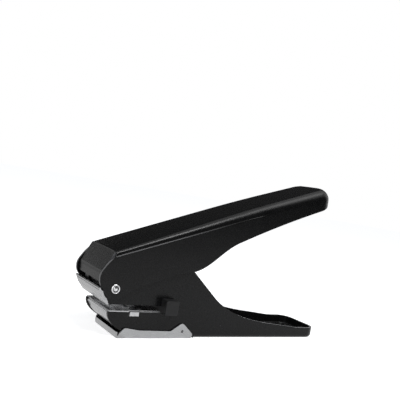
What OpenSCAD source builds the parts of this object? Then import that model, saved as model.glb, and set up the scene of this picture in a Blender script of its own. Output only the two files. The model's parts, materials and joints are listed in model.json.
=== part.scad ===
// Hand-held slot punch for plastic cards and badges.
// Millimetres. X runs from the jaws (negative) to the handle ends, Y across, Z up.
// The origin lies under the middle of the tool, on the surface that it stands on.

/* [Pivot and travel] */
// Place of the lever pivot along the tool
pivot_x = -73.5; // [-76:0.1:-70]
// Height of the lever pivot above the table
pivot_z = 27.5; // [26.5:0.1:29]
// Angle that the lever turns through when it is squeezed
squeeze = 20; // [16:0.5:20]

/* [Body] */
// Outside width of the body across its cheeks
body_w = 33.2; // [31:0.2:36]
// Thickness of the pressed steel sheet of body and lever
sheet = 1.5; // [1.2:0.1:1.8]
// Outer radius of the bend between the handle floor and its walls
floor_bend = 2.5; // [2:0.5:6]
// Corner radius of the handle end, seen from above
end_corner = 8; // [6.5:0.5:12]
// Distance from the pivot to the end of the lower handle
handle_reach = 157.1; // [148:0.1:165]
// Height of the handle walls at their end
rim_z = 7; // [6:0.1:8]
// Radius of the cheeks around the pivot
cheek_r = 6.6; // [6.2:0.1:6.7]
// Height of the cheeks inside the lever, above the pivot
cheek_rise = 14.5; // [13:0.5:15]
// Distance from the pivot to the front of the handle floor
floor_start = 56.4; // [56:0.1:60]

/* [Lever] */
// Clearance between a cheek and the lever wall beside it
side_gap = 0.4; // [0.3:0.05:0.6]
// Slope of the lever over the body
front_slope = 21.2; // [20.5:0.1:22]
// Slope of the lever over the handle
rear_slope = 19.4; // [17:0.1:20]
// Distance from the pivot square to the top of the lever
lever_rise = 19.5; // [18.5:0.1:20]
// Distance from the pivot to the change of slope
slope_change = 90; // [80:1:100]
// Distance from the pivot to the rear end of the lever
lever_reach = 151.5; // [145:0.5:158]
// Radius of the shoulders at the nose of the lever
nose_shoulder = 2.4; // [1.9:0.1:3]
// Radius of the shoulders at the rear end of the lever
rear_shoulder = 8; // [5:0.25:8.5]
// Corner radius of the lever end, seen from above
lever_corner = 10; // [9:0.5:12]
// Distance of the nose face behind the front edges of the lever walls
nose_inset = 1.1; // [0.8:0.1:1.4]
// Distance from the pivot to the front edge of the lever walls
nose_reach = 10.1; // [9.9:0.1:10.6]

/* [Rivet] */
// Radius of the rivet shank
rivet_r = 2; // [1.8:0.1:2.2]
// Radius of the rivet heads
rivet_head_r = 2.6; // [2.5:0.1:3.4]
// Height of a rivet head over the lever wall
rivet_head_h = 0.9; // [0.7:0.1:1]
// Radius of the dimple in a rivet head
rivet_dimple_r = 1.5; // [1:0.1:1.7]
// Depth of the dimple in a rivet head
rivet_dimple_h = 0.6; // [0.3:0.1:0.7]
// Outer radius of the spacer tube between the cheeks
sleeve_r = 3; // [2.8:0.1:3.2]

/* [Jaws] */
// Height of the lower jaw of the cheeks, under the jaw sheet
jaw_z = 14.6; // [14:0.1:15]
// Height of the slot in the cheeks that the card goes into
throat_h = 4; // [3.9:0.1:4.6]
// Distance from the pivot to the closed end of that slot
throat_reach = 40.4; // [38.6:0.1:42]
// Thickness of the plated jaw sheets
jaw_sheet = 0.6; // [0.5:0.1:0.9]
// Distance from the pivot to the front edge of the lower jaw
jaw_front = 1.4; // [1:0.1:2.4]
// Distance from the pivot to the lower edge of the sloping jaw apron
apron_front = 2.6; // [2.4:0.1:3]
// Half width of the sloping jaw apron
apron_half = 18; // [17.2:0.1:18.4]
// Thickness of the punch guide
guide_t = 3; // [2.4:0.1:3.1]
// Length of the punch guide and the die along the tool
block_l = 14; // [13:0.5:15]
// Thickness of the die
die_t = 4; // [3.5:0.1:4.5]
// Width of the die tabs that show through the cheeks
tab_l = 5.8; // [5:0.2:8]
// Height of the die tabs
tab_h = 2.3; // [1.6:0.1:2.4]

/* [Punch] */
// Length of the slot that is punched
slot_l = 15; // [14:0.5:15]
// Width of the slot that is punched
slot_w = 3; // [2.6:0.1:3.2]
// Distance from the pivot to the middle of the punch
punch_arm = 14.9; // [14.6:0.1:15.4]
// Height of the drive pin above the pivot
pin_rise = 3.5; // [3.4:0.1:3.8]
// Radius of the drive pin
pin_r = 1.5; // [1.3:0.1:1.6]
// Clearance all round the drive pin in the punch head
pin_gap = 0.07; // [0.06:0.01:0.1]
// Distance of the punch tip inside the guide at rest
tip_inset = 0.4; // [0.2:0.1:0.6]
// Clearance all round the punch in its guide
punch_gap = 0.05; // [0.04:0.01:0.1]

/* [Press bracket] */
// Thickness of the bracket sheet
bracket_t = 1.5; // [1.2:0.1:1.6]
// Clearance between the punch head and a bracket leg
leg_gap = 0.5; // [0.4:0.1:0.6]
// Distance from the pivot to the stop pin
stop_r = 27.8; // [27:0.1:29]
// Angle of the stop pin above the level, seen from the pivot
stop_angle = 17.8; // [17:0.1:19]
// Radius of the stop pin
stop_pin_r = 2; // [1.6:0.1:2.1]

/* [Return springs] */
// Thickness of the spring wire
wire = 1.4; // [1.2:0.1:1.5]
// Mean radius of the coils
coil_r = 4.3; // [4.2:0.1:4.4]
// Whole turns in each spring
coil_turns = 2; // [1:1:2]

/* [Chip tray] */
// Thickness of the tray sheet
tray_t = 0.8; // [0.6:0.1:1]
// Height of the tray walls
tray_h = 4.2; // [3.8:0.1:4.6]
// Distance from the lever pivot to the tray hinge
tray_hinge = 47.5; // [46.5:0.1:48]
// Height of the tray hinge
hinge_z = 4.2; // [4:0.1:4.4]
// Radius of the dimples that the tray turns on
dimple_r = 1.3; // [1.1:0.1:1.5]
// Distance from the lever pivot back to the tray lip in front
lip_reach = 6.2; // [6:0.1:6.6]
// Height of the tray lip
lip_h = 3.5; // [2.6:0.1:3.8]
// Distance from the middle to the clipped far corner of the tray lip
lip_clip = 11; // [9:0.5:15]

/* [Depth stop] */
// Length of the stop and its knobs along the tool
stop_l = 8.2; // [7:0.2:9]
// Clearance over and under the stop bar
bar_gap = 0.2; // [0.1:0.05:0.3]
// Height of the knobs
knob_h = 8.3; // [7.5:0.1:8.4]
// Distance that a knob stands out from the cheek
knob_out = 6.4; // [5:0.2:8]

/* [Hidden] */
$fn = 48;

// General fits
running = 0.05;
seat = 0.3;
tab_gap = 0.6;
tiny = 0.01;

// Widths, from the middle outwards
body_out = body_w/2;
body_in = body_out - sheet;
inner_w = body_in - 0.15;
lever_in = body_out + side_gap;
lever_out = lever_in + sheet;

// Heights of the jaws
table_z = jaw_z + jaw_sheet;
ceiling_z = jaw_z + throat_h;
guide_z = ceiling_z + jaw_sheet;
guide_top = guide_z + guide_t;

// Places along the tool
punch_x = pivot_x + punch_arm;
pin_z = pivot_z + pin_rise;
throat_end = pivot_x + throat_reach;
floor_x = pivot_x + floor_start;
end_x = pivot_x + handle_reach;
hinge_x = pivot_x + tray_hinge;
stop_x = pivot_x + stop_r*cos(stop_angle);
stop_z = pivot_z + stop_r*sin(stop_angle);
jaw_x = pivot_x - jaw_front;
apron_x = pivot_x - apron_front;

// Travel of the punch at full squeeze
stroke = punch_arm*sin(squeeze) + pin_rise*(1 - cos(squeeze));

// Colours
black = [0.12, 0.12, 0.13];
plated = [0.76, 0.77, 0.78];
steel = [0.62, 0.63, 0.65];
plastic = [0.06, 0.06, 0.065];

// Points along an arc in the side view
function arc(c, r, from, to, n) =
    [for (i = [0:n]) let (a = from + (to - from)*i/n) [c[0] + r*cos(a), c[1] + r*sin(a)]];

// Points along a cubic curve, without its first point
function curve(a, b, c, d, n) =
    [for (i = [1:n]) let (t = i/n, s = 1 - t)
        s*s*s*a + 3*s*s*t*b + 3*s*t*t*c + t*t*t*d];

// A point given from the pivot
function from_pivot(x, z) = [pivot_x + x, pivot_z + z];

// A point at a distance along and square to the front slope of the lever
function on_slope(along, up) =
    from_pivot(along*cos(front_slope) - up*sin(front_slope),
        along*sin(front_slope) + up*cos(front_slope));

// Side view outlines stretched across the tool from y0 to y1
module across(y0, y1) {
    translate([0, y1, 0])
        rotate([90, 0, 0])
            linear_extrude(y1 - y0)
                children();
}

// A round bar across the tool
module bar(x, z, r, y0, y1) {
    translate([x, y1, z])
        rotate([90, 0, 0])
            cylinder(r = r, h = y1 - y0);
}

// The same piece on both sides
module both_sides() {
    children();
    mirror([0, 1, 0]) children();
}

/* ---- Body ---- */

// Rear edge of the body, from the notch under the lever to the handle rim
notch = from_pivot(49.6, 12.3);
sweep_start = from_pivot(66, -1.5);
rim_join = [end_x - 35, rim_z + 1.7];
function rear_edge() = concat([notch, sweep_start],
    curve(sweep_start, from_pivot(75, -9.6), from_pivot(90, -16.5), rim_join, 12),
    [[end_x - 18, rim_z], [end_x + 1, rim_z]]);

// Front edge of the lower jaw, from the throat down to the tray
function jaw_edge() = concat([[jaw_x, jaw_z]],
    curve([jaw_x, jaw_z], [jaw_x + 0.1, jaw_z - 5.5], [jaw_x + 5, jaw_z - 8.5],
        [jaw_x + 10.2, jaw_z - 10.9], 8));

module cheek_outline() {
    front_low = [jaw_x + 12.6, tray_t + seat];
    polygon(concat(
        jaw_edge(),
        [front_low, [floor_x, tray_t + seat], [floor_x, 0], [end_x + 1, 0]],
        [for (i = [len(rear_edge()) - 1:-1:0]) rear_edge()[i]],
        [[notch[0] - 4, pivot_z + cheek_rise], from_pivot(10, cheek_rise)],
        arc([pivot_x, pivot_z], cheek_r, 80, 216, 10),
        [[apron_x + 0.2, ceiling_z + 1.4], [apron_x + 1.4, ceiling_z]]));
}

module throat() {
    translate([jaw_x - 5, jaw_z])
        square([throat_end - jaw_x + 5 - throat_h/2, throat_h]);
    translate([throat_end - throat_h/2, jaw_z + throat_h/2])
        circle(r = throat_h/2);
}

// Section of the handle: floor, bend and wall, reaching out to a radius
module pan_section(reach, height) {
    difference() {
        union() {
            square([reach - floor_bend, sheet]);
            translate([reach - sheet, floor_bend]) square([sheet, height - floor_bend]);
            translate([reach - floor_bend, floor_bend])
                intersection() {
                    circle(r = floor_bend);
                    translate([0, -floor_bend]) square(floor_bend);
                }
        }
        translate([reach - floor_bend, floor_bend]) circle(r = floor_bend - sheet);
    }
}

module handle_pan() {
    wall = pivot_z + cheek_rise;
    corner_x = end_x - end_corner;
    corner_y = body_out - end_corner;
    both_sides() {
        translate([floor_x, 0, 0])
            rotate([90, 0, 90])
                linear_extrude(corner_x - floor_x)
                    pan_section(body_out, wall);
        translate([corner_x, corner_y, 0])
            rotate_extrude(angle = 90)
                pan_section(end_corner, wall);
        translate([corner_x, corner_y, 0])
            rotate([90, 0, 0])
                linear_extrude(corner_y)
                    pan_section(end_corner, wall);
        translate([corner_x - tiny, 0, 0])
            cube([tiny + 1, corner_y + 1, sheet]);
    }
}

// Strip that joins the cheeks under the jaw, behind the tray lip
module chin() {
    e = jaw_edge();
    inset = 0.8;
    top = e[6] + [inset, -0.3];
    foot = e[8] + [inset/2, 0.3];
    across(-body_in - tiny, body_in + tiny)
        polygon([top, foot, foot + [0, sheet], top + [sheet, 0.4]]);
}

module body_channel() {
    color(black)
    difference() {
        union() {
            intersection() {
                across(-body_out, body_out) cheek_outline();
                union() {
                    handle_pan();
                    both_sides()
                        translate([pivot_x - 20, body_in, 0])
                            cube([floor_x - pivot_x + 20 + tiny, sheet, 60]);
                }
            }
            chin();
        }
        across(-body_w, body_w) throat();
        translate([punch_x - tab_l/2 - tab_gap, -body_w, jaw_z - tab_h - running])
            cube([tab_l + 2*tab_gap, 2*body_w, tab_h + 1]);
        bar(pivot_x, pivot_z, rivet_r + 0.02, -body_w, body_w);
        bar(stop_x, stop_z, stop_pin_r + 0.02, -body_w, body_w);
        bar(hinge_x, hinge_z, dimple_r + running, -body_w, body_w);
    }
}

/* ---- Pivot ---- */

module pivot_rivet() {
    dome_r = (rivet_dimple_r*rivet_dimple_r + rivet_dimple_h*rivet_dimple_h)
        /(2*rivet_dimple_h);
    top_y = lever_out + 0.02 + rivet_head_h;
    color(plated)
    difference() {
        union() {
            bar(pivot_x, pivot_z, rivet_r, -lever_out - 0.3, lever_out + 0.3);
            both_sides()
                translate([pivot_x, -lever_out - 0.02, pivot_z])
                    rotate([90, 0, 0])
                        rotate_extrude()
                            intersection() {
                                square([rivet_head_r, rivet_head_h]);
                                translate([rivet_head_r - rivet_head_h, 0])
                                    union() {
                                        circle(r = rivet_head_h);
                                        translate([-rivet_head_r, 0])
                                            square([rivet_head_r, rivet_head_h]);
                                    }
                            }
        }
        both_sides()
            translate([pivot_x, -top_y - dome_r + rivet_dimple_h, pivot_z])
                sphere(r = dome_r);
    }
}

module pivot_sleeve() {
    color(steel)
    difference() {
        bar(pivot_x, pivot_z, sleeve_r, -body_in + 0.05, body_in - 0.05);
        bar(pivot_x, pivot_z, rivet_r + running, -body_w, body_w);
    }
}

module pivot_washers() {
    play = 0.03;
    color(steel)
    both_sides()
        difference() {
            bar(pivot_x, pivot_z, 2*rivet_r, body_out + play, lever_in - play);
            bar(pivot_x, pivot_z, rivet_r + running, 0, body_w);
        }
}

// Path of a return spring: leg under the lever, coil, leg on the punch guide
coil_out = body_in - 0.25 - wire/2;
pitch = wire + 0.15;
leg_slope = 45;
tip_up = lever_rise - sheet - seat - wire/2;
start_a = 90 + leg_slope;
sweep_a = 270 - start_a + 360*coil_turns;
function coil_point(a) = [coil_r*cos(a), coil_out - pitch*(a - start_a)/360, coil_r*sin(a)];
leg_l = (tip_up - coil_r*cos(leg_slope - front_slope))/sin(leg_slope - front_slope);
bent = coil_point(start_a) + leg_l*[cos(leg_slope), 0, sin(leg_slope)];
low = coil_point(start_a + sweep_a);
spring_path = concat(
    [bent + 5*[cos(front_slope), 0, sin(front_slope)], bent],
    [for (i = [0:12 + 12*coil_turns*2]) coil_point(start_a + sweep_a*i/(12 + 24*coil_turns))],
    [low + [11, 0, 0]]);

// A round wire swept along a path
module wire_along(path, r, sides) {
    n = len(path);
    function ahead(i) = path[min(i + 1, n - 1)] - path[max(i - 1, 0)];
    function unit(v) = v/norm(v);
    rings = [for (i = [0:n - 1])
        let (t = unit(ahead(i)), u = unit(cross(t, [0, 1, 0])), w = cross(t, u))
        for (k = [0:sides - 1]) path[i] + r*(cos(360*k/sides)*u + sin(360*k/sides)*w)];
    walls = [for (i = [0:n - 2], k = [0:sides - 1])
        let (a = i*sides + k, b = i*sides + (k + 1)%sides)
        [a, b, b + sides, a + sides]];
    caps = [[for (k = [sides - 1:-1:0]) k], [for (k = [0:sides - 1]) (n - 1)*sides + k]];
    polyhedron(points = rings, faces = concat(walls, caps), convexity = 6);
}

module return_springs() {
    color(steel)
    both_sides()
        translate([pivot_x, 0, pivot_z])
            wire_along(spring_path, wire/2, 8);
}

/* ---- Jaws ---- */

// The opening that the punch runs in, with a clearance all round
module punch_slot(gap, z0, z1) {
    translate([punch_x - slot_w/2 - gap, -slot_l/2 - gap, z0])
        cube([slot_w + 2*gap, slot_l + 2*gap, z1 - z0]);
}

// Side return of the apron: it fills the wedge before the lever wall
module apron_return() {
    clear_r = cheek_r + 0.2;
    polygon(concat([from_pivot(-9.2, -0.3)],
        arc([pivot_x, pivot_z], clear_r, 194, 234, 5),
        [[apron_x - 0.2, ceiling_z + 1.6], [apron_x - 0.6, ceiling_z + 0.3],
            from_pivot(-7, -4.6)]));
}

module upper_jaw_plate() {
    top = from_pivot(-9.3, -0.2);
    middle = from_pivot(-6.9, -4.7);
    foot = [apron_x, ceiling_z];
    t = jaw_sheet;
    down = (middle - top)/norm(middle - top);
    inwards = [-down[1], down[0]];
    fold = 0.35*inwards;
    color(plated)
    difference() {
        union() {
            translate([foot[0], -inner_w, ceiling_z])
                cube([throat_end - stop_l - 6 - foot[0], 2*inner_w, t]);
            across(-apron_half, apron_half)
                polygon([foot, foot + [-0.9, 0.3], middle, top + 1.5*down,
                    top + 1.4*down + fold, top + 0.9*down + fold, top + 0.8*down, top,
                    top + 0.95*inwards, top + 1.8*down + 0.95*inwards,
                    middle + t*inwards, foot + [-0.1, t + 0.1], foot + [0.15, t]]);
            both_sides()
                across(apron_half - t, apron_half) apron_return();
        }
        punch_slot(punch_gap, 0, 60);
        screw_holes(guide_z);
    }
}

screw_x = punch_x + block_l/2 - 2.6;
screw_y = inner_w - 2.4;

module screw_holes(z) {
    both_sides()
        translate([screw_x, screw_y, z - 4])
            cylinder(r = 1.25, h = 8);
}

module screw(head_z, length, up) {
    both_sides()
        translate([screw_x, screw_y, head_z])
            mirror([0, 0, up ? 0 : 1]) {
                cylinder(r = 2.1, h = 1.2);
                translate([0, 0, -length]) cylinder(r = 1.2, h = length + tiny);
            }
}

module punch_guide() {
    color(steel)
    difference() {
        translate([punch_x - block_l/2, -inner_w, guide_z])
            cube([block_l, 2*inner_w, guide_t]);
        punch_slot(punch_gap, 0, 60);
        screw_holes(guide_z);
    }
}

module guide_screws() {
    color(plated) screw(guide_top, guide_t + 0.5, true);
}

// Where the flat of the lower jaw plate ends and its front bend begins
front_bend = 2.6;
bend_c = [jaw_x + 0.6 + front_bend, table_z - front_bend];

// Side view of the plate between the cheeks: end of the table, bend and front apron
module front_apron() {
    e = jaw_edge();
    t = jaw_sheet;
    back = [0.8, 0];
    polygon(concat([[bend_c[0] + 3, table_z]],
        arc(bend_c, front_bend, 90, 175, 6),
        [for (i = [3:6]) e[i] + back],
        [for (i = [6:-1:3]) e[i] + back + [t, 0.2]],
        arc(bend_c, front_bend - t, 175, 90, 6),
        [[bend_c[0] + 3, jaw_z]]));
}

module lower_jaw_plate() {
    ledge = jaw_x + 0.7;
    tab_start = punch_x - tab_l/2 - tab_gap;
    color(plated)
    difference() {
        union() {
            translate([bend_c[0], -inner_w, jaw_z])
                cube([throat_end - throat_h/2 - bend_c[0], 2*inner_w, jaw_sheet]);
            both_sides()
                translate([ledge, inner_w - tiny, jaw_z])
                    cube([tab_start - ledge, body_out - inner_w + tiny, jaw_sheet]);
            across(-inner_w, inner_w) front_apron();
        }
        punch_slot(0.5, 0, 60);
        screw_holes(jaw_z);
    }
}

module die_block() {
    color(steel)
    difference() {
        union() {
            translate([punch_x - block_l/2, -inner_w, jaw_z - die_t])
                cube([block_l, 2*inner_w, die_t]);
            translate([punch_x - tab_l/2, -body_out - 0.1, jaw_z - tab_h])
                cube([tab_l, body_w + 0.2, tab_h]);
        }
        punch_slot(punch_gap, jaw_z - 1.5, 60);
        punch_slot(0.6, 0, jaw_z - 1.5);
        screw_holes(jaw_z - die_t);
    }
}

module die_screws() {
    color(plated) screw(jaw_z - die_t, die_t - 0.4, false);
}

module stop_pin() {
    color(steel) bar(stop_x, stop_z, stop_pin_r, -body_out, body_out);
}

/* ---- Lever ---- */

// Shoulder radius of the lever at a distance from the pivot
function shoulder(x) = nose_shoulder
    + (rear_shoulder - nose_shoulder)*(x + nose_reach)/(lever_reach + nose_reach);

// Top of the lever at a distance from the pivot
change_z = (lever_rise + slope_change*sin(front_slope))/cos(front_slope);
function top_z(x) = pivot_z + (x < slope_change
    ? (lever_rise + x*sin(front_slope))/cos(front_slope)
    : change_z + (x - slope_change)*tan(rear_slope));

// Ball that rounds a shoulder, inside the skin by a depth
module shoulder_ball(x, depth) {
    r = shoulder(x);
    slope = x < slope_change ? front_slope : rear_slope;
    both_sides()
        translate([pivot_x + x, lever_out - r, top_z(x) - r/cos(slope)])
            sphere(r = r - depth, $fn = 32);
}

module lever_form(depth) {
    ahead = -nose_reach - 8;
    rear_r = rear_shoulder - depth;
    corner = lever_corner - rear_shoulder;
    corner_x = pivot_x + lever_reach - lever_corner;
    corner_y = lever_out - lever_corner;
    corner_z = top_z(lever_reach - lever_corner) - rear_shoulder/cos(rear_slope);
    hull() {
        shoulder_ball(ahead, depth);
        shoulder_ball(slope_change, depth);
        both_sides() {
            translate([corner_x, corner_y, corner_z])
                rotate([0, -rear_slope*0.5, 0])
                    rotate_extrude($fn = 32)
                        intersection() {
                            translate([corner, 0]) circle(r = rear_r, $fn = 32);
                            translate([0, -rear_r]) square(2*rear_r);
                        }
            translate([corner_x, corner_y, 0])
                cylinder(r = lever_corner - depth, h = 1, $fn = 32);
            translate([pivot_x + ahead, lever_out - depth - 1, 0])
                cube([1, 1, 1]);
        }
    }
}

// Lower edge of the lever wall, from the nose to the rear end
lever_notch = from_pivot(49.6, 12.6);
lever_swell = from_pivot(79.5, 32.9);
lever_tail = from_pivot(142.7, 60.4);
function wall_edge() = concat(
    [from_pivot(-nose_reach, 7.3), from_pivot(-nose_reach + 0.7, 2.3),
        from_pivot(-6.9, -0.9)],
    arc([pivot_x, pivot_z], cheek_r - 0.3, 196, 308, 8),
    curve(from_pivot(3.9, -5), from_pivot(9, -1.2), from_pivot(13, 1.3),
        from_pivot(18, 3.1), 4),
    [from_pivot(37.6, 10.2)],
    curve(from_pivot(37.6, 10.2), from_pivot(42, 11.4), from_pivot(46, 11.6),
        lever_notch, 3),
    curve(lever_notch, from_pivot(61, 16.5), from_pivot(67, 27.5), lever_swell, 12),
    curve(lever_swell, from_pivot(100, 43), from_pivot(121, 52), lever_tail, 8),
    [from_pivot(lever_reach + 2, 64.5)]);

module wall_outline() {
    far = lever_reach + 5;
    nose_top = on_slope(4.7, lever_rise);
    polygon(concat([[nose_top[0], 140], nose_top,
            from_pivot(-6, 13.7), from_pivot(-nose_reach + 0.6, 8.2)],
        wall_edge(),
        [[pivot_x + far, 140]]));
}

// Nose face: bent down from the top between the walls
module nose_face() {
    bend = on_slope(4.7, lever_rise);
    low = from_pivot(-nose_reach + nose_inset, 7.3);
    lip = from_pivot(-nose_reach + nose_inset + 0.5, 3.6);
    in = sheet;
    across(-lever_in - tiny, lever_in + tiny)
        polygon([bend, bend + [-0.9, -0.9], low + [0.25, 0.75], low, lip, lip + [in, 0],
            low + [in, -0.2], bend + [in + 0.4, -2.6], on_slope(10, lever_rise - sheet),
            on_slope(10, lever_rise)]);
}

module lever_channel() {
    color(black)
    difference() {
        union() {
            intersection() {
                difference() {
                    lever_form(0);
                    lever_form(sheet);
                }
                across(-lever_out, lever_out) wall_outline();
            }
            nose_face();
        }
        bar(pivot_x, pivot_z, rivet_r + running, -body_w, body_w);
    }
}

// Outline of a bracket leg in the side view
leg_under = lever_rise - sheet - 0.05;
module leg_outline() {
    foot_r = 3;
    toe_r = stop_pin_r + 2.2;
    difference() {
        union() {
            polygon([on_slope(26, leg_under), [punch_x - foot_r, pin_z],
                [punch_x + foot_r, pin_z], [punch_x + foot_r + 3.4, pin_z + 2.6],
                [stop_x, stop_z - toe_r], [stop_x + toe_r, stop_z],
                on_slope(40, leg_under)]);
            translate([punch_x, pin_z]) circle(r = foot_r);
            translate([stop_x, stop_z]) circle(r = toe_r);
        }
        translate([punch_x, pin_z]) circle(r = pin_r + 0.02);
        stop_slot();
    }
}

// Curved slot that the stop pin lies in: it ends the travel both ways
module stop_slot() {
    half = stop_pin_r + seat;
    spare = 0.6;
    polygon(concat(
        arc([pivot_x, pivot_z], stop_r + half, stop_angle, stop_angle + squeeze + spare, 10),
        arc([pivot_x, pivot_z], stop_r - half, stop_angle + squeeze + spare, stop_angle, 10)));
    for (a = [stop_angle, stop_angle + squeeze + spare])
        translate([pivot_x + stop_r*cos(a), pivot_z + stop_r*sin(a)]) circle(r = half);
}

leg_in = slot_l/2 + leg_gap;

module press_bracket() {
    leg_out = leg_in + bracket_t;
    color(steel) {
        both_sides()
            across(leg_in, leg_out) leg_outline();
        across(-leg_out, leg_out)
            polygon([on_slope(26, leg_under), on_slope(26, leg_under - bracket_t),
                on_slope(40, leg_under - bracket_t), on_slope(40, leg_under)]);
    }
}

clip_t = 0.4;
clip_y = leg_in + bracket_t + 0.1;
pin_end = clip_y + clip_t + 0.8;

module drive_pin() {
    color(steel)
    difference() {
        bar(punch_x, pin_z, pin_r, -pin_end, pin_end);
        both_sides()
            difference() {
                bar(punch_x, pin_z, pin_r + 1, clip_y, clip_y + clip_t + 0.04);
                bar(punch_x, pin_z, pin_r*0.75, 0, body_w);
            }
    }
}

// Open retaining clips in the grooves of the drive pin
module pin_clips() {
    color(steel)
    both_sides()
        difference() {
            bar(punch_x, pin_z, pin_r*1.9, clip_y + 0.02, clip_y + clip_t);
            bar(punch_x, pin_z, pin_r*0.75 + 0.02, 0, body_w);
            translate([punch_x - pin_r*0.7, 0, pin_z - 2*pin_r])
                cube([pin_r*1.4, body_w, 2*pin_r]);
        }
}

/* ---- Punch, tray and depth stop ---- */

module punch_blade() {
    head_z = guide_top + stroke + seat;
    head_h = pin_rise + pivot_z - head_z + pin_r + 2.4;
    head_l = 9;
    slide_x = 0.5;
    hole = pin_r + pin_gap;
    color(steel)
    difference() {
        union() {
            translate([punch_x - slot_w/2, -slot_l/2, ceiling_z + tip_inset])
                cube([slot_w, slot_l, head_z - ceiling_z - tip_inset + 1]);
            translate([punch_x - head_l/2, -slot_l/2, head_z])
                cube([head_l, slot_l, head_h]);
        }
        bar(punch_x, pin_z, hole, -slot_l, slot_l);
        bar(punch_x + slide_x, pin_z, hole, -slot_l, slot_l);
        translate([punch_x, -slot_l, pin_z - hole]) cube([slide_x, 2*slot_l, 2*hole]);
    }
}

tray_in = body_out + 0.2;
tray_out = tray_in + tray_t;

tray_front = pivot_x + lip_reach;
ear_r = 2.2;
ear_foot = 6.6;

// Side view of a tray wall: a raised nose, a long low rim and the ear at the hinge
module tray_wall() {
    ear_z = hinge_z + 2.3;
    polygon(concat(
        [[tray_front + 0.6, 0], [tray_front, 0.6], [tray_front + 0.4, 2]],
        curve([tray_front + 0.4, 2], [tray_front + 2, 3], [tray_front + 2.4, 5.7],
            [tray_front + 4.4, 5.8], 5),
        [[tray_front + 13.4, tray_h + 0.3], [hinge_x - 7.8, tray_h]],
        arc([hinge_x - 0.6, ear_z], ear_r, 125, 45, 5),
        [[hinge_x + ear_foot + 0.4, 3], [hinge_x + ear_foot + 0.8, 2],
            [hinge_x + ear_foot, 0]]));
}

// Plan of the tray: the near front corner is eased and the far one is clipped
module tray_plan() {
    nose = tray_front - 1;
    side = tray_out + 1;
    ease = 1.2;
    tail = hinge_x + ear_foot + 2;
    polygon([[nose, ease - tray_out], [nose + ease, -tray_out], [nose + ease, -side],
        [tail, -side], [tail, side], [nose + 3, side], [nose + 2.4, tray_out],
        [nose, lip_clip]]);
}

module chip_tray() {
    floor_end = hinge_x - 2.2;
    color(plated)
    difference() {
        intersection() {
            union() {
                both_sides() {
                    across(tray_in, tray_out) tray_wall();
                    bar(hinge_x, hinge_z, dimple_r, body_in + 0.2, tray_in + tiny);
                }
                translate([tray_front, -tray_out, 0])
                    cube([floor_end - tray_front, 2*tray_out, tray_t]);
                translate([tray_front, -body_in + seat, 0])
                    cube([hinge_x + ear_foot - tray_front, 2*(body_in - seat), tray_t]);
                across(-tray_out, tray_out)
                    polygon([[tray_front + 0.5, 0], [tray_front - 0.4, 0.5],
                        [tray_front - tray_t, 1.4], [tray_front - tray_t, lip_h],
                        [tray_front - 0.1, lip_h], [tray_front, 1.5],
                        [tray_front + 0.5, tray_t]]);
            }
            translate([0, 0, -1]) linear_extrude(20) tray_plan();
        }
        both_sides()
            bar(hinge_x, hinge_z, dimple_r - 0.5, body_in + 0.9, tray_out + 1);
    }
}

stop_front = throat_end - stop_l - 1.4;
bar_z = table_z + bar_gap;
bar_h = ceiling_z - table_z - 2*bar_gap;
knob_in = body_out + seat;
knob_z = jaw_z + 0.2;

module knob(y0, y1) {
    round_r = 0.8;
    across(y0, y1)
        union() {
            translate([stop_front + round_r, knob_z])
                square([stop_l - 2*round_r, knob_h]);
            translate([stop_front, knob_z + round_r])
                square([stop_l, knob_h - 2*round_r]);
            for (x = [round_r, stop_l - round_r], z = [round_r, knob_h - round_r])
                translate([stop_front + x, knob_z + z]) circle(r = round_r);
        }
}

// Peg on the bar that the cap snaps over
module bar_peg(gap) {
    translate([stop_front + 2 - gap, 0, bar_z + 0.6 - gap])
        cube([stop_l - 4 + 2*gap, knob_in + 3 + gap, bar_h - 1.2 + 2*gap]);
}

module depth_stop_slide() {
    color(plastic) {
        translate([stop_front, -knob_in - tiny, bar_z])
            cube([stop_l, knob_in + knob_in - 0.05, bar_h]);
        bar_peg(0);
        knob(-knob_in - knob_out + seat, -knob_in);
    }
}

module depth_stop_cap() {
    color(plastic)
    difference() {
        knob(knob_in, knob_in + knob_out - seat);
        bar_peg(0.05);
    }
}

body_channel();
pivot_rivet();
pivot_sleeve();
pivot_washers();
return_springs();
upper_jaw_plate();
punch_guide();
guide_screws();
lower_jaw_plate();
die_block();
die_screws();
stop_pin();
lever_channel();
press_bracket();
drive_pin();
pin_clips();
punch_blade();
chip_tray();
depth_stop_slide();
depth_stop_cap();
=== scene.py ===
"""Looks of the hand-held slot punch: materials, fine meshes, light and camera.

Shapes are given in millimetres in the frame of the part, and their meshes are in metres.
Lamps, cards and the floor are placed in metres.
"""
import json
import math

import bmesh
import bpy
from mathutils import Matrix, Vector


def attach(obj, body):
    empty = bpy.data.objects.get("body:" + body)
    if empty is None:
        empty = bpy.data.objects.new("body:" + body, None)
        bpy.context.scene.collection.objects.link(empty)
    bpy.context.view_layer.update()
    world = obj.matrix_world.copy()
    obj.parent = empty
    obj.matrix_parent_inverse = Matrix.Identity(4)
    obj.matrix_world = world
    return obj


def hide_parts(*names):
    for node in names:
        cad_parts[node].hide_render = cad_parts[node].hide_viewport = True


MM = 0.001
SHARP = math.radians(32)    # edges that turn more than this are sharp
WELD = 0.002                # points of a CAD mesh that are nearer than this are one
MERGE = 0.0005              # the same for the two halves of a mirrored shape
HANDLE = 0.55               # of the curves that round a corner, as a share of the cut

# Camera, as fitted to the photograph
CAMERA_AT = (-204.94, -290.77, 88.28)
CAMERA_RIGHT = (0.83071, -0.53013, 0.16995)
CAMERA_UP = (-0.13257, 0.10813, 0.98526)
CAMERA_LENS, CAMERA_SENSOR = 50.4, 36

# Rounding of the edges of the CAD nodes; the spring has none
EDGE_WIDTH = {"body_channel": 0.35, "chip_tray": 0.2, "depth_stop_slide": 0.25,
              "depth_stop_cap": 0.25, "upper_jaw_plate": 0.15, "lower_jaw_plate": 0.15,
              "return_springs": 0.0}
EDGE_WIDTH_ELSE = 0.1

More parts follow.
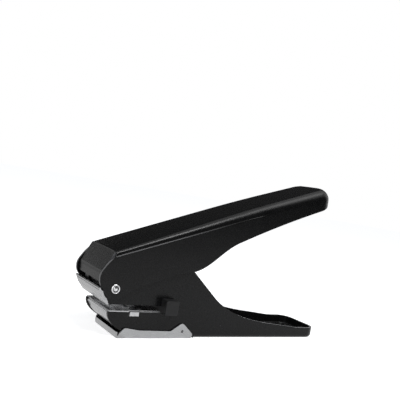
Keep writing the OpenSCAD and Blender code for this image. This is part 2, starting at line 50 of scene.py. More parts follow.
# Lever: half width, sheet, and the top line measured from the pivot
LEVER_HALF = 18.5
SHEET = 1.5
LEVER_RISE = 19.5
FRONT_SLOPE = math.radians(21.2)
REAR_SLOPE = math.radians(19.4)
SLOPE_CHANGE = 90.0
SLOPE_BLEND = 22.0
LEVER_REACH = 151.5
LEVER_CORNER = 10.0
LEVER_TAIL = 64.5
LEVER_EDGE = 0.22
TOP_CROWN = 0.35
SHOULDER_R, SHOULDER_GROWTH = 2.25, 0.036
NOSE_X = -2.4               # where the top starts to bend down
NOSE_GAP = 0.4              # between the nose and the inside of the walls
NOTCH = (49.6, 12.6)        # start of the lower edge over the hand
EAR_R, EAR_START, EAR_SWEEP = 6.35, -52, -104   # of the wall round the pivot
NOSE_ROWS, CROWN_ROWS = 3, 8    # of the nose, until it has its width and until it is flat

# Seam between wall and shoulder, outwards and upwards from the wall's upper edge:
# the wall's rounded edge first, then the groove, with the shoulder on top
SEAM = ((0.0, -0.5), (-0.12, -0.14), (-0.4, 0.0), (-0.55, 0.12), (-0.55, 0.3))
SEAM_FULL, SEAM_FADED, SEAM_LEAST = 65.0, 112.0, 0.06

# Faces of half the lever: along the side, round the rear corner, from there to the
# middle (and so across the top), up the shoulder, and up the wall
N_SIDE, N_CORNER, N_MIDDLE, N_ARC, N_WALL = 72, 12, 8, 10, 6
UNDER_SEAM = 0.4            # a narrow row that keeps the wall's own faces flat
WALL_BORDER = 0.45          # of narrow faces inside the edge of the flat wall

# Material slots of the lever: plain paint, rims with a painted highlight, the groove with painted shade, and the
# seam's edge with a painted highlight
PAINT, EDGE, GROOVE, SEAM_EDGE = 0, 1, 2, 3

# Rivet: shank, head, and the rings on either side of its groove, which get darker steel as painted shade
RIVET_R = 2.0
RIVET_HEAD_R, RIVET_HEAD_H = 2.6, 0.9
RIVET_SEAT = LEVER_HALF + 0.02
RIVET_SIDES, RIVET_DARK = 64, 3

# Return springs: coils from the outside in, their lower feet and their upper legs
WIRE_R, WIRE_SIDES = 0.7, 12
COIL_R, COIL_OUT, COIL_PITCH = 4.3, 14.15, 1.55
COIL_START, COIL_SWEEP, COIL_STEPS = 135.0, 855.0, 110
FOOT_LENGTH = 11
LEG_LENGTH, LEG_SLOPE, LEG_TIP = 33.0, math.radians(45), 5
LEG_WRAP, LEG_STEPS = 23, 4     # the part of the first coil that turns with the leg
LEG_PROUD = 0.02                # more radius there, so that it covers the coil

# Floor: tone, and its glow to the camera and to reflections
FLOOR_R, FLOOR_TONE = 6.0, 0.85
FLOOR_SEEN, FLOOR_REFLECTED = 0.62, 0.06

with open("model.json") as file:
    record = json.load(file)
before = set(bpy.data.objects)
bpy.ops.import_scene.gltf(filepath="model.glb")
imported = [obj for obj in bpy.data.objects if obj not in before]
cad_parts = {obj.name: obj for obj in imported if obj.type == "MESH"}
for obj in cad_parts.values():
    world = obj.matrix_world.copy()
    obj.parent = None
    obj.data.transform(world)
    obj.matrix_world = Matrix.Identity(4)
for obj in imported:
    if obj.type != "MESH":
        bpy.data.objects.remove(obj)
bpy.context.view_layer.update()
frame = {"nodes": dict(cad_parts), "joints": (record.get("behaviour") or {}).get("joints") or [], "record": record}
nodes = frame["nodes"]
joints = {joint["name"]: joint for joint in frame["joints"]}
PIVOT = Vector(joints["lever_squeeze"]["pos_m"]) / MM


# ---- Shader helpers ----

def empty_material(name):
    material = bpy.data.materials.new(name)
    material.use_nodes = True
    tree = material.node_tree
    tree.nodes.clear()
    return material, tree, tree.nodes.new("ShaderNodeOutputMaterial")


def new_material(name):
    material, tree, out = empty_material(name)
    shader = tree.nodes.new("ShaderNodeBsdfPrincipled")
    tree.links.new(shader.outputs["BSDF"], out.inputs["Surface"])
    return material, tree, shader


def noise(tree, scale, detail, rough=0.55, stretch=(1, 1, 1)):
    """Noise over the object, scale in grains a metre."""
    place = tree.nodes.new("ShaderNodeTexCoord")
    turn = tree.nodes.new("ShaderNodeMapping")
    turn.inputs["Scale"].default_value = stretch
    texture = tree.nodes.new("ShaderNodeTexNoise")
    texture.inputs["Scale"].default_value = scale
    texture.inputs["Detail"].default_value = detail
    texture.inputs["Roughness"].default_value = rough
    tree.links.new(place.outputs["Object"], turn.inputs["Vector"])
    tree.links.new(turn.outputs["Vector"], texture.inputs["Vector"])
    return texture.outputs["Fac"]


def along(tree, output, axis):
    """One axis of a texture coordinate."""
    place = tree.nodes.new("ShaderNodeTexCoord")
    split = tree.nodes.new("ShaderNodeSeparateXYZ")
    tree.links.new(place.outputs[output], split.inputs[0])
    return split.outputs[axis]


def numbers(tree, value, low, high, start=0.3, end=0.7):
    """Turns a value from start to end into a number from low to high."""
    node = tree.nodes.new("ShaderNodeMapRange")
    node.inputs["From Min"].default_value = start
    node.inputs["From Max"].default_value = end
    node.inputs["To Min"].default_value = low
    node.inputs["To Max"].default_value = high
    tree.links.new(value, node.inputs["Value"])
    return node.outputs["Result"]


def colours(tree, value, low, high, start=0.3, end=0.7):
    """Turns a value from start to end into a colour from low to high."""
    node = tree.nodes.new("ShaderNodeValToRGB")
    node.color_ramp.elements[0].position = start
    node.color_ramp.elements[1].position = end
    node.color_ramp.elements[0].color = (*low, 1)
    node.color_ramp.elements[1].color = (*high, 1)
    tree.links.new(value, node.inputs["Fac"])
    return node.outputs["Color"]


def bump(tree, shader, height, strength, depth, below=None):
    """Bump of a depth in millimetres, over another bump where one is given."""
    node = tree.nodes.new("ShaderNodeBump")
    node.inputs["Strength"].default_value = strength
    node.inputs["Distance"].default_value = depth * MM
    tree.links.new(height, node.inputs["Height"])
    if below is not None:
        tree.links.new(below, node.inputs["Normal"])
    tree.links.new(node.outputs["Normal"], shader.inputs["Normal"])
    return node.outputs["Normal"]


def recolour(material, value, low, high):
    """Gives a painted material a base colour that follows a value from 0 to 1."""
    tree = material.node_tree
    shader = next(n for n in tree.nodes if n.type == "BSDF_PRINCIPLED")
    tree.links.new(colours(tree, value, low, high, 0.0, 1.0), shader.inputs["Base Color"])


# ---- Materials ----

def black_paint(name="black_paint", tone=0.004, rough=(0.22, 0.3), gloss=0.22):
    """Satin black enamel on pressed steel, a little orange-peeled."""
    material, tree, shader = new_material(name)
    dark = (tone * 0.85, tone * 0.86, tone * 0.92)
    pale = (tone * 1.15, tone * 1.15, tone * 1.2)
    tree.links.new(colours(tree, noise(tree, 90, 3), dark, pale), shader.inputs["Base Color"])
    tree.links.new(numbers(tree, noise(tree, 420, 5), *rough), shader.inputs["Roughness"])
    shader.inputs["Specular IOR Level"].default_value = gloss
    peel = bump(tree, shader, noise(tree, 700, 2), strength=0.06, depth=0.05)
    bump(tree, shader, noise(tree, 4000, 2), strength=0.02, depth=0.02, below=peel)
    return material


def seam_painted_highlight(start, end):
    """Paler paint on the seam's edge, a painted highlight, fading into the plain paint between two places along X.
    """
    material = black_paint("seam_painted_highlight", gloss=0.25)
    tree = material.node_tree
    faded = numbers(tree, along(tree, "Object", "X"), 0.0, 1.0, start * MM, end * MM)
    recolour(material, faded, (0.1, 0.1, 0.102), (0.004, 0.004, 0.004))
    return material


def channel_painted_highlight():
    """Paint made paler on the cut edges that face up, above the channel's floor: a painted highlight."""
    material = black_paint("channel_painted_highlight")
    tree = material.node_tree
    facing_up = numbers(tree, along(tree, "Normal", "Z"), 0.0, 1.0, 0.5, 0.85)
    rim_highlight = numbers(tree, along(tree, "Object", "Z"), 0.0, 1.0, 3 * MM, 4.5 * MM)
    tree.links.new(facing_up, rim_highlight.node.inputs["To Max"])
    recolour(material, rim_highlight, (0.004, 0.004, 0.0042), (0.2, 0.2, 0.204))
    return material


def plated_steel(name="plated_steel", tone=0.46, rough=(0.2, 0.3)):
    """Bright nickel plating over rolled sheet, with faint rolling lines."""
    material, tree, shader = new_material(name)
    shader.inputs["Metallic"].default_value = 1.0
    dull = tuple(tone * c for c in (0.93, 0.935, 0.95))
    bright = tuple(tone * c for c in (1.0, 1.005, 1.02))
    tree.links.new(colours(tree, noise(tree, 160, 4), dull, bright),
                   shader.inputs["Base Color"])
    grain = noise(tree, 2600, 3, rough=0.6, stretch=(0.06, 1, 1))
    tree.links.new(numbers(tree, grain, *rough), shader.inputs["Roughness"])
    soft = bump(tree, shader, noise(tree, 120, 2), strength=0.12, depth=0.25)
    bump(tree, shader, grain, strength=0.05, depth=0.02, below=soft)
    return material


def ground_steel(name, tone, rough, stretch=(1, 0.05, 1)):
    """Bare steel with grinding lines."""
    material, tree, shader = new_material(name)
    shader.inputs["Metallic"].default_value = 1.0
    low = (tone * 0.86, tone * 0.87, tone * 0.88)
    high = (tone, tone, tone * 1.01)
    grain = noise(tree, 3200, 4, 0.6, stretch)
    tree.links.new(colours(tree, grain, low, high), shader.inputs["Base Color"])
    tree.links.new(numbers(tree, grain, rough, rough + 0.14), shader.inputs["Roughness"])
    bump(tree, shader, grain, strength=0.12, depth=0.03)
    return material


def black_plastic():
    """Moulded black plastic with a fine spark-eroded grain."""
    material, tree, shader = new_material("black_plastic")
    tree.links.new(colours(tree, noise(tree, 300, 3), (0.006, 0.006, 0.0065),
                           (0.009, 0.009, 0.0095)), shader.inputs["Base Color"])
    tree.links.new(numbers(tree, noise(tree, 2200, 3), 0.46, 0.6), shader.inputs["Roughness"])
    shader.inputs["Specular IOR Level"].default_value = 0.35
    bump(tree, shader, noise(tree, 3800, 3), strength=0.2, depth=0.04)
    return material


MATERIALS = {
    "black_paint": black_paint(),
    # Much lighter, glossier paint for rims and rounded edges: a painted highlight
    "edge_painted_highlight": black_paint("edge_painted_highlight", tone=0.06, rough=(0.2, 0.3), gloss=0.5),
    # Paler paint on the seam's edge: a painted highlight that fades towards the rear
    "seam_painted_highlight": seam_painted_highlight(start=-45, end=0),
    "channel_painted_highlight": channel_painted_highlight(),
    # Darker, matt paint in the seam's groove: painted shade
    "groove_painted_shade": black_paint("groove_painted_shade", tone=0.002, rough=(0.5, 0.6), gloss=0.08),
    "plated_steel": plated_steel(),
    "rivet_steel": plated_steel("rivet_steel", tone=0.85, rough=(0.16, 0.24)),
    # Darker steel in the rivet's groove: painted shade
    "rivet_painted_shade": plated_steel("rivet_painted_shade", tone=0.1, rough=(0.3, 0.4)),
    "bare_steel": ground_steel("bare_steel", tone=0.3, rough=0.32),
    "tool_steel": ground_steel("tool_steel", tone=0.62, rough=0.26, stretch=(0.05, 1, 1)),
    "spring_steel": ground_steel("spring_steel", tone=0.12, rough=0.3),
    "screw_zinc": plated_steel("screw_zinc", tone=0.6, rough=(0.3, 0.4)),
    "black_plastic": black_plastic(),
}


# ---- Modifiers ----

def smooth_group():
    """Node group that shades smooth except across sharp edges."""
    group = bpy.data.node_groups.new("smooth_by_angle", "GeometryNodeTree")
    group.interface.new_socket("Geometry", in_out="INPUT", socket_type="NodeSocketGeometry")
    group.interface.new_socket("Geometry", in_out="OUTPUT", socket_type="NodeSocketGeometry")
    add = group.nodes.new
    start = add("NodeGroupInput")
    end = add("NodeGroupOutput")
    faces = add("GeometryNodeSetShadeSmooth")
    faces.domain = "FACE"
    edges = add("GeometryNodeSetShadeSmooth")
    edges.domain = "EDGE"
    angle = add("GeometryNodeInputMeshEdgeAngle")
    soft = add("FunctionNodeCompare")
    soft.data_type = "FLOAT"
    soft.operation = "LESS_THAN"
    soft.inputs["B"].default_value = SHARP
    link = group.links.new
    link(start.outputs[0], faces.inputs["Geometry"])
    link(faces.outputs[0], edges.inputs["Geometry"])
    link(angle.outputs["Unsigned Angle"], soft.inputs["A"])
    link(soft.outputs["Result"], edges.inputs["Shade Smooth"])
    link(edges.outputs[0], end.inputs[0])
    return group


SMOOTH = smooth_group()


def shade_smooth(obj):
    shade = obj.modifiers.new("shade", "NODES")
    shade.node_group = SMOOTH


def round_edges(obj, width, angle):
    """Rounds the edges that turn more than an angle, and keeps the flats between them flat."""
    bevel = obj.modifiers.new("bevel", "BEVEL")
    bevel.width = width * MM
    bevel.segments = 2
    bevel.limit_method = "ANGLE"
    bevel.angle_limit = angle
    shade_smooth(obj)
    normals = obj.modifiers.new("normals", "WEIGHTED_NORMAL")
    normals.keep_sharp = True
    return bevel


# ---- CAD nodes ----

def dress_cad():
    """Finish of every CAD node, and softened edges of all but the springs."""
    slot_of = {part["node"]: part["material_slot"] for part in frame["record"]["subparts"]}
    for name, node in nodes.items():
        is_channel = name == "body_channel"
        # The channel takes the paint with a painted highlight on its edges that face up
        finish = "channel_painted_highlight" if is_channel else slot_of[name]
        width = EDGE_WIDTH.get(name, EDGE_WIDTH_ELSE)
        node.data.materials.clear()
        node.data.materials.append(MATERIALS[finish])
        weld = node.modifiers.new("weld", "WELD")
        weld.merge_threshold = WELD * MM
        if not width:
            shade_smooth(node)
            continue
        bevel = round_edges(node, width, SHARP)
        # The channel's rounded edges take the lighter edge paint: a painted highlight
        if is_channel:
            node.data.materials.append(MATERIALS["edge_painted_highlight"])
            bevel.material = 1


# ---- Mesh helpers ----

def make_object(name, bm, material, body):
    bmesh.ops.recalc_face_normals(bm, faces=bm.faces)
    mesh = bpy.data.meshes.new(name)
    for vert in bm.verts:
        vert.co *= MM
    bm.to_mesh(mesh)
    bm.free()
    obj = bpy.data.objects.new(name, mesh)
    bpy.context.scene.collection.objects.link(obj)
    mesh.materials.append(MATERIALS[material])
    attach(obj, body)
    return obj


def bezier(a, b, c, d, n):
    """Points along a cubic curve, without its first point."""
    points = []
    for i in range(1, n + 1):
        t = i / n
        s = 1 - t
        points.append(tuple(s**3 * p + 3 * s * s * t * q + 3 * s * t * t * u + t**3 * v
                            for p, q, u, v in zip(a, b, c, d)))
    return points


def rounded(path, radii, n):
    """A polyline whose inner corners are replaced by curves of about the given radii."""
    out = [path[0]]
    for i in range(1, len(path) - 1):
        p = Vector(path[i])
        before = Vector(path[i - 1]) - p
        after = Vector(path[i + 1]) - p
        turn = math.pi - before.angle(after)
        cut = min(radii[i - 1] * math.tan(turn / 2), before.length / 2, after.length / 2)
        a = p + before.normalized() * cut
        b = p + after.normalized() * cut
        out.append(tuple(a))
        out += bezier(tuple(a), tuple(a.lerp(p, HANDLE)), tuple(b.lerp(p, HANDLE)),
                      tuple(b), n)
    out.append(path[-1])
    return out


def strip(bm, a, b):
    """Faces between two rows of points."""
    return [bm.faces.new((a[k], b[k], b[k + 1], a[k + 1])) for k in range(len(a) - 1)]


def tube(bm, rings):
    """Faces between closed rings of points."""
    for a, b in zip(rings, rings[1:]):
        for i in range(len(a)):
            k = (i + 1) % len(a)
            bm.faces.new((a[i], a[k], b[k], b[i]))


def mirror(bm):
    """Adds the other half, across the middle plane of the piece."""
    bmesh.ops.mirror(bm, geom=bm.verts[:] + bm.edges[:] + bm.faces[:], axis="Y",
                     merge_dist=MERGE)
    bmesh.ops.remove_doubles(bm, verts=bm.verts, dist=MERGE)


# ---- Lever: its lines, measured from the pivot ----

def lever_top(x):
    """Height of the top over the pivot, at a distance along from it."""
    start = LEVER_RISE / math.cos(FRONT_SLOPE)
    low, high = SLOPE_CHANGE - SLOPE_BLEND, SLOPE_CHANGE + SLOPE_BLEND
    front, rear = math.tan(FRONT_SLOPE), math.tan(REAR_SLOPE)
    if x <= low:
        return start + front * x
    t = min(x, high) - low
    bent = start + front * low + front * t + (rear - front) * t * t / (2 * (high - low))
    return bent + rear * max(0.0, x - high)


def bulge(y):
    """Rise of the crowned top, at a distance from its middle."""
    return TOP_CROWN * (1 - (y / LEVER_HALF) ** 2)


def crown(x, y):
    return lever_top(x) + bulge(y)


def shoulder(x):
    """Radius of the shoulder: it grows from the nose to the rear."""
    return SHOULDER_R + SHOULDER_GROWTH * max(0.0, x)


def seam(x):
    """The seam's points at a distance from the pivot: it fades towards the rear."""
    t = min(1.0, max(0.0, (SEAM_FADED - x) / (SEAM_FADED - SEAM_FULL)))
    depth = SEAM_LEAST + (1 - SEAM_LEAST) * t * t * (3 - 2 * t)
    return [(out * depth, up) for out, up in SEAM]


def lever_low():
    """Lower edge of the wall, from the notch over the hand to the rear end."""
    swell, tail = (79.5, 32.9), (142.7, 60.4)
    edge = [NOTCH]
    edge += bezier(NOTCH, (61, 16.5), (67, 27.5), swell, 16)
    edge += bezier(swell, (100, 43), (121, 52), tail, 16)
    edge += bezier(tail, (145.5, 61.6), (148, 63.2), (LEVER_REACH, LEVER_TAIL), 4)
    return edge


def low_at(edge, x):
    """Height of the lower edge at a distance from the pivot."""
    for a, b in zip(edge, edge[1:]):
        if x <= b[0]:
            return a[1] + (b[1] - a[1]) * (x - a[0]) / (b[0] - a[0])
    return edge[-1][1]


def wall_front():
    """Front and lower edge of the wall, from the notch round the pivot up to the nose."""
    grip, ear = (18, 3.1), (3.9, -5)
    edge = [NOTCH]
    edge += bezier(NOTCH, (46, 11.6), (42, 11.4), (37.6, 10.2), 4)
    edge += [grip]
    edge += bezier(grip, (13, 1.3), (9, -1.2), ear, 5)
    for i in range(1, 11):
        angle = math.radians(EAR_START + EAR_SWEEP * i / 11)
        edge.append((EAR_R * math.cos(angle), EAR_R * math.sin(angle)))
    edge += rounded([(-6.9, -0.9), (-9.4, 2.3), (-10.1, 7.3), (-6.2, 13.7), (-3.0, 17.2)],
                    [5.0, 6.0, 30.0], 5)
    return edge


# ---- Lever: its mesh ----

def lever_point(x, y, z):
    """A point of the lever's near half, in the frame of the part."""
    return PIVOT.x + x, -y, PIVOT.z + z


def lever_columns():
    """Places round half of the plan, each with its outward direction."""
    corner_x, corner_y = LEVER_REACH - LEVER_CORNER, LEVER_HALF - LEVER_CORNER
    columns = [(NOSE_X + (corner_x - NOSE_X) * i / N_SIDE, LEVER_HALF, 0.0, 1.0)
               for i in range(N_SIDE + 1)]
    for i in range(1, N_CORNER + 1):
        a = math.pi / 2 * i / N_CORNER
        columns.append((corner_x + LEVER_CORNER * math.sin(a),
                        corner_y + LEVER_CORNER * math.cos(a), math.sin(a), math.cos(a)))
    columns += [(LEVER_REACH, corner_y * (1 - i / N_MIDDLE), 1.0, 0.0)
                for i in range(1, N_MIDDLE + 1)]
    return columns


def add_shoulder(bm, columns):
    """Seam and rounded shoulder over the wall: returns the points up each column."""
    grid = []
    for x, y, nx, ny in columns:
        r, points = shoulder(x), seam(x)
        inset = r - points[-1][0]
        z_ring = crown(x - nx * inset, y - ny * inset)
        z_line = z_ring - r - points[-1][1]
        arc = [(points[-1][0] - r * (1 - math.cos(a)), points[-1][1] + r * math.sin(a))
               for a in (math.pi / 2 * k / N_ARC for k in range(1, N_ARC + 1))]
        grid.append([bm.verts.new(lever_point(x + nx * out, y + ny * out, z_line + up))
                     for out, up in points + arc])
    # The seam's edge gets a painted highlight and its groove painted shade, in front of where the seam fades
    seamed = [SEAM_EDGE, SEAM_EDGE, GROOVE, GROOVE]
    for (x, *_), a, b in zip(columns, grid, grid[1:]):
        finish = (seamed if x < SEAM_FADED else [PAINT] * 4) + [PAINT] * N_ARC
        for face, slot in zip(strip(bm, a, b), finish):
            face.material_index = slot
    return grid


def add_top(bm, columns, grid):
    """Top from the shoulder to the middle of the lever: returns its front row."""
    last = N_SIDE + N_CORNER
    rows = []
    for j in range(last + 1):
        x, y, nx, ny = columns[j]
        inset = shoulder(x) - seam(x)[-1][0]
        ring_x, ring_y = x - nx * inset, y - ny * inset
        row = [grid[j][-1]]
        for k in range(1, N_MIDDLE + 1):
            if j == last:
                row.append(grid[last + k][-1])
            else:
                yk = ring_y * (1 - k / N_MIDDLE)
                row.append(bm.verts.new(lever_point(ring_x, yk, crown(ring_x, yk))))
        rows.append(row)
    for a, b in zip(rows, rows[1:]):
        strip(bm, a, b)
    return rows[0]


def add_nose(bm, above):
    """The top bent down between the walls, then down again to its lip."""
    path = rounded([(NOSE_X, lever_top(NOSE_X)), (-3.0, lever_top(-3.0)),
                    (-8.75, 8.05), (-8.3, 2.9)], [2.2, 4.5], 7)
    widest = LEVER_HALF - SHEET - NOSE_GAP
    top_half = LEVER_HALF - shoulder(NOSE_X) + seam(NOSE_X)[-1][0]
    for i, (x, z) in enumerate(path[1:]):
        half = top_half + (widest - top_half) * min(1.0, (i + 1) / NOSE_ROWS)
        row = []
        for k in range(N_MIDDLE + 1):
            yk = half * (1 - k / N_MIDDLE)
            lift = bulge(yk) * max(0.0, 1 - i / CROWN_ROWS)
            row.append(bm.verts.new(lever_point(x, yk, z + lift)))
        strip(bm, row, above)
        above = row


def add_wall(bm, columns, grid):
    """Wall under the seam: one flat face from the nose to the notch, then strips."""
    edge = lever_low()
    first = next(j for j, column in enumerate(columns) if column[0] > NOTCH[0])
    outline = [bm.verts.new(lever_point(x, LEVER_HALF, z)) for x, z in wall_front()[::-1]]
    lower = [bm.verts.new(lever_point(x, y, low_at(edge, x))) for x, y, *_ in columns[first:]]
    under = [bm.verts.new(row[0].co - Vector((0, 0, UNDER_SEAM))) for row in grid]
    for j in range(len(columns) - 1):
        bm.faces.new((under[j], under[j + 1], grid[j + 1][0], grid[j][0]))
    # Behind the notch each column has rungs up the wall, from its lower edge
    ladder = []
    for low, high in zip(lower, under[first:]):
        rungs = [bm.verts.new(low.co.lerp(high.co, k / N_WALL)) for k in range(1, N_WALL)]
        ladder.append([low] + rungs + [high])
    wall = bm.faces.new(under[first::-1] + outline + ladder[0][:-1])
    bmesh.ops.inset_region(bm, faces=[wall], thickness=WALL_BORDER, use_even_offset=True)
    for a, b in zip(ladder, ladder[1:]):
        strip(bm, a, b)


def add_lever():
    """The lever as a folded sheet whose rim takes the lighter edge paint, a painted highlight."""
    bm = bmesh.new()
    columns = lever_columns()
    grid = add_shoulder(bm, columns)
    add_nose(bm, add_top(bm, columns, grid))
    add_wall(bm, columns, grid)
    mirror(bm)
    obj = make_object("lever_skin", bm, "black_paint", "lever")
    for finish in ("edge_painted_highlight", "groove_painted_shade", "seam_painted_highlight"):
        obj.data.materials.append(MATERIALS[finish])
    solid = obj.modifiers.new("sheet", "SOLIDIFY")
    solid.thickness = SHEET * MM
    solid.offset = -1
    solid.use_even_offset = True
    # The sheet's rims take the lighter edge paint: a painted highlight
    solid.material_offset_rim = EDGE
    round_edges(obj, LEVER_EDGE, math.radians(60))
    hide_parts("lever_channel")


# ---- Rivet ----

def lathe(bm, profile):
    """Turns a profile of (radius, height) about the pivot axis, height towards +Y."""
    turns = [2 * math.pi * i / RIVET_SIDES for i in range(RIVET_SIDES)]
    rings = [[bm.verts.new((PIVOT.x + r * math.cos(a), h, PIVOT.z + r * math.sin(a)))
              for a in turns] for r, h in profile]
    tube(bm, rings)
    return rings


def add_rivet():
    """Rivet with a rolled rim round a dimple with a low centre on each side."""
    bm = bmesh.new()
    r, seat, top = RIVET_HEAD_R, RIVET_SEAT, RIVET_SEAT + RIVET_HEAD_H
    head = [(RIVET_R, 0.0), (RIVET_R, seat - 0.1), (r - 0.12, seat), (r, seat + 0.14)]
    head += bezier(head[-1], (r, top - 0.25), (r - 0.25, top), (r - 0.65, top), 8)
    head += bezier(head[-1], (r - 0.8, top), (r - 0.85, top - 0.55), (r - 1.05, top - 0.6), 6)
    groove = len(head) - 1
    head += bezier(head[-1], (1.35, top - 0.65), (1.1, top - 0.1), (0.02, top - 0.05), 8)
    rings = lathe(bm, head)
    bm.faces.ensure_lookup_table()
    # Faces on either side of the groove take the darker steel: painted shade
    dark = slice((groove - RIVET_DARK) * RIVET_SIDES, (groove + RIVET_DARK) * RIVET_SIDES)
    for face in bm.faces[dark]:
        face.material_index = 1
    bm.faces.new(rings[-1])
    mirror(bm)
    obj = make_object("rivet_skin", bm, "rivet_steel", "body")
    obj.data.materials.append(MATERIALS["rivet_painted_shade"])
    for polygon in obj.data.polygons:
        polygon.use_smooth = True
    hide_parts("pivot_rivet")


# ---- Return springs ----

def direction(slope):
    return Vector((math.cos(slope), 0, math.sin(slope)))


def coil_point(angle):
    """A point of the coil from the pivot: it winds inwards from the outer end."""
    a = math.radians(angle)
    return Vector((COIL_R * math.cos(a), COIL_OUT - COIL_PITCH * (angle - COIL_START) / 360,
                   COIL_R * math.sin(a)))


def wire(bm, path, radius):
    """Round wire along a path from the pivot, closed at both ends."""
    rings = []
    for i, point in enumerate(path):
        ahead = path[min(i + 1, len(path) - 1)] - path[max(i - 1, 0)]
        up = ahead.cross(Vector((0, 1, 0))).normalized()
        side = ahead.normalized().cross(up)
        rings.append([bm.verts.new(PIVOT + point + radius * (math.cos(a) * up
                                                             + math.sin(a) * side))
                      for a in (2 * math.pi * k / WIRE_SIDES for k in range(WIRE_SIDES))])
    tube(bm, rings)
    bm.faces.new(rings[0])
    bm.faces.new(rings[-1])


def add_spring_piece(name, path, radius, body):
    """The same wire on both sides of the punch."""
    bm = bmesh.new()
    wire(bm, path, radius)
    wire(bm, [Vector((p.x, -p.y, p.z)) for p in path], radius)
    obj = make_object(name, bm, "spring_steel", body)
    shade_smooth(obj)
    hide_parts("return_springs")


def add_springs():
    """Coils that stay on the rivet, and upper legs that turn with the lever round them."""
    coil = [coil_point(COIL_START + COIL_SWEEP * i / COIL_STEPS)
            for i in range(COIL_STEPS + 1)]
    foot = coil[-1] + Vector((FOOT_LENGTH, 0, 0))
    add_spring_piece("spring_coils", coil + [foot], WIRE_R, "body")
    root = [coil_point(COIL_START + LEG_WRAP * i / LEG_STEPS) for i in range(LEG_STEPS + 1)]
    bend = root[0] + LEG_LENGTH * direction(LEG_SLOPE)
    tip = bend + LEG_TIP * direction(FRONT_SLOPE)
    leg = [Vector(p) for p in rounded([root[0], bend, tip], [3.0], 5)]
    add_spring_piece("spring_legs", root[::-1] + leg[1:], WIRE_R + LEG_PROUD, "lever")


# ---- Camera, light and stage ----

def add_camera():
    back = Vector(CAMERA_RIGHT).cross(Vector(CAMERA_UP)).normalized()
    right = Vector(CAMERA_RIGHT)
    up = back.cross(right).normalized()
    turn = Matrix((right.normalized(), up, back)).transposed()
    data = bpy.data.cameras.new("camera")
    data.lens = CAMERA_LENS
    data.sensor_width = CAMERA_SENSOR
    data.clip_start = 0.01
    data.clip_end = 50
    camera = bpy.data.objects.new("camera", data)
    camera.matrix_world = Matrix.Translation(Vector(CAMERA_AT) * MM) @ turn.to_4x4()
    bpy.context.scene.collection.objects.link(camera)
    bpy.context.scene.camera = camera


def add_area(name, at, look, width, height, watts):
    data = bpy.data.lights.new(name, "AREA")
    data.shape = "RECTANGLE"
    data.size = width
    data.size_y = height
    data.energy = watts
    lamp = bpy.data.objects.new(name, data)
    lamp.location = at
    lamp.rotation_euler = (Vector(look) - Vector(at)).to_track_quat("-Z", "Y").to_euler()
    bpy.context.scene.collection.objects.link(lamp)


def add_lamps():
    """Two lamps overhead for the light along the shoulder, and a wide one in front."""
    add_area("overhead_near", (0.02, -0.42, 0.80), (0.0, 0.0, 0.05), 0.30, 0.30, 4.4)
    add_area("overhead_far", (0.32, -0.18, 0.80), (0.05, 0.0, 0.05), 0.30, 0.30, 0.8)
    add_area("front", (-0.75, -0.75, 0.55), (0.0, 0.0, 0.04), 0.6, 0.5, 2.0)


def seen_ray(tree, camera=1.0, glossy=1.0):
    """One strength for camera and transmission rays, one for glossy rays, 0 for others."""
    path = tree.nodes.new("ShaderNodeLightPath")
    total = None
    for kind, strength in (("Is Camera Ray", camera), ("Is Glossy Ray", glossy),
                           ("Is Transmission Ray", camera)):
        step = tree.nodes.new("ShaderNodeMath")
        step.operation = "MULTIPLY_ADD"
        tree.links.new(path.outputs[kind], step.inputs[0])
        step.inputs[1].default_value = strength
        step.inputs[2].default_value = 0.0
        if total is not None:
            tree.links.new(total, step.inputs[2])
        total = step.outputs[0]
    return total


def add_world():
    """White to look at and in reflections, with a softer fill light."""
    world = bpy.data.worlds.new("studio")
    bpy.context.scene.world = world
    world.use_nodes = True
    tree = world.node_tree
    tree.nodes.clear()
    out = tree.nodes.new("ShaderNodeOutputWorld")
    mix = tree.nodes.new("ShaderNodeMixShader")
    tree.links.new(seen_ray(tree), mix.inputs["Fac"])
    for socket, colour, strength in ((1, (0.95, 0.97, 1.0, 1), 0.45), (2, (1, 1, 1, 1), 1.0)):
        light = tree.nodes.new("ShaderNodeBackground")
        light.inputs["Color"].default_value = colour
        light.inputs["Strength"].default_value = strength
        tree.links.new(light.outputs[0], mix.inputs[socket])
    tree.links.new(mix.outputs[0], out.inputs["Surface"])


def add_floor():
    """Pale floor that keeps a soft shadow and meets the white behind it."""
    material, tree, out = empty_material("floor")
    matt = tree.nodes.new("ShaderNodeBsdfDiffuse")
    matt.inputs["Color"].default_value = (FLOOR_TONE, FLOOR_TONE, FLOOR_TONE, 1)
    glow = tree.nodes.new("ShaderNodeEmission")
    tree.links.new(seen_ray(tree, FLOOR_SEEN, FLOOR_REFLECTED), glow.inputs["Strength"])
    add = tree.nodes.new("ShaderNodeAddShader")
    tree.links.new(matt.outputs[0], add.inputs[0])
    tree.links.new(glow.outputs[0], add.inputs[1])
    tree.links.new(add.outputs[0], out.inputs["Surface"])
    bm = bmesh.new()
    bmesh.ops.create_circle(bm, cap_ends=True, radius=FLOOR_R, segments=96)
    mesh = bpy.data.meshes.new("floor")
    bm.to_mesh(mesh)
    bm.free()
    floor = bpy.data.objects.new("floor", mesh)
    mesh.materials.append(material)
    bpy.context.scene.collection.objects.link(floor)


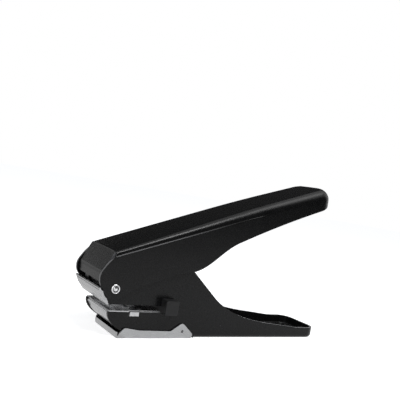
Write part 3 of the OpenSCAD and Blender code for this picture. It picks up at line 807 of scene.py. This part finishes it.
def add_card(name, corners, steps):
    """Card out of sight that the piece reflects, with (height in mm, brightness) steps."""
    material, tree, out = empty_material(name)
    glow = tree.nodes.new("ShaderNodeEmission")
    curve = tree.nodes.new("ShaderNodeFloatCurve")
    points = curve.mapping.curves[0].points
    while len(points) < len(steps):
        points.new(0.5, 0.5)
    for point, (height, strength) in zip(points, steps):
        point.location = (height * MM, strength)
        point.handle_type = "VECTOR"
    curve.mapping.update()
    tree.links.new(along(tree, "Object", "Z"), curve.inputs["Value"])
    tree.links.new(curve.outputs[0], glow.inputs["Strength"])
    tree.links.new(glow.outputs[0], out.inputs["Surface"])
    mesh = bpy.data.meshes.new(name)
    mesh.from_pydata(corners, [], [(0, 1, 2, 3)])
    mesh.materials.append(material)
    card = bpy.data.objects.new(name, mesh)
    bpy.context.scene.collection.objects.link(card)
    card.visible_camera = False
    card.visible_diffuse = False
    card.visible_shadow = False
    card.visible_transmission = False


def upright(x0, x1, y, z0, z1):
    return [(x0, y, z0), (x1, y, z0), (x1, y, z1), (x0, y, z1)]


def level(x0, x1, y0, y1, z):
    return [(x0, y0, z), (x1, y0, z), (x1, y1, z), (x0, y1, z)]


def add_cards():
    """Dim cards behind the punch, and bright ones for its nose, plates and near side."""
    dim = [(0, 0.032), (1100, 0.032)]
    add_card("rear_card_near", upright(-0.60, 0.13, 0.5, 0.13, 1.1), dim)
    add_card("rear_card_far", upright(0.13, 1.3, 0.5, 0.0, 1.1), dim)
    add_card("nose_card", upright(-0.42, -0.1, 0.49, 0.14, 0.5),
             [(0, 0.15), (140, 0.15), (190, 0.4), (300, 1.0), (500, 1.0)])
    add_card("floor_card", level(-0.7, -0.062, -0.5, 0.5, 0.0004), [(0, 0.75), (10, 0.75)])
    add_card("front_card", upright(-0.12, 0.6, -0.15, 0.0, 0.25),
             [(0, 0.95), (17, 0.95), (36, 0.62), (61, 0.16), (98, 0.02), (250, 0.01)])


bpy.context.scene.view_settings.view_transform = "Standard"
dress_cad()
add_lever()
add_rivet()
add_springs()
add_camera()
add_world()
add_floor()
add_lamps()
add_cards()
